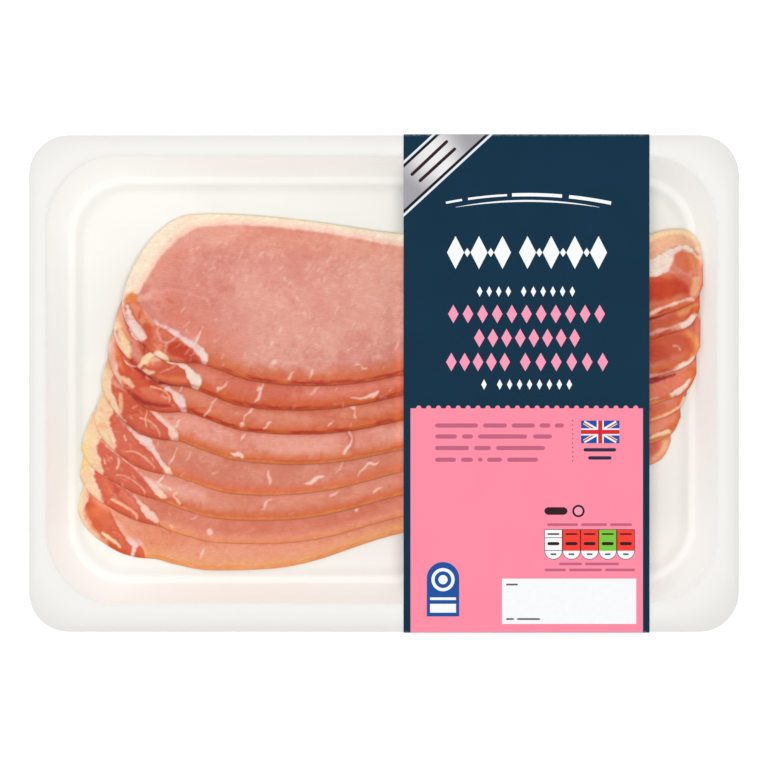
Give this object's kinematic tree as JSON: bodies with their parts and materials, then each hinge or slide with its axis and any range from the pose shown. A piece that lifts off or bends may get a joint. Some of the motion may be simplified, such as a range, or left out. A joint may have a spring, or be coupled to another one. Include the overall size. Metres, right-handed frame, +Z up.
{
  "type": "bacon pack",
  "caption": "Shallow white tray of shingled back bacon rashers under a clear film lid, with a printed card sleeve round one half.",
  "frame": {"origin": "on the ground, under the middle of the pack", "axes": "+X along the pack towards the sleeve, +Y across it towards the rind side of the rashers, +Z up through the film lid"},
  "size_m": [0.25, 0.1756, 0.027],
  "materials": {
    "tray_plastic": "white thermoformed plastic, satin",
    "lid_film": "clear glossy film",
    "printed_card": "printed card, satin, dark blue with a pink panel",
    "bacon": "moist cured pork, pink lean with cream fat"
  },
  "bodies": {
    "root": {"tray": "tray_plastic", "film": "lid_film", "sleeve": "printed_card", "rasher_1": "bacon", "rasher_2": "bacon", "rasher_3": "bacon", "rasher_4": "bacon", "rasher_5": "bacon", "rasher_6": "bacon", "rasher_7": "bacon", "rasher_8": "bacon"}
  },
  "joints": []
}
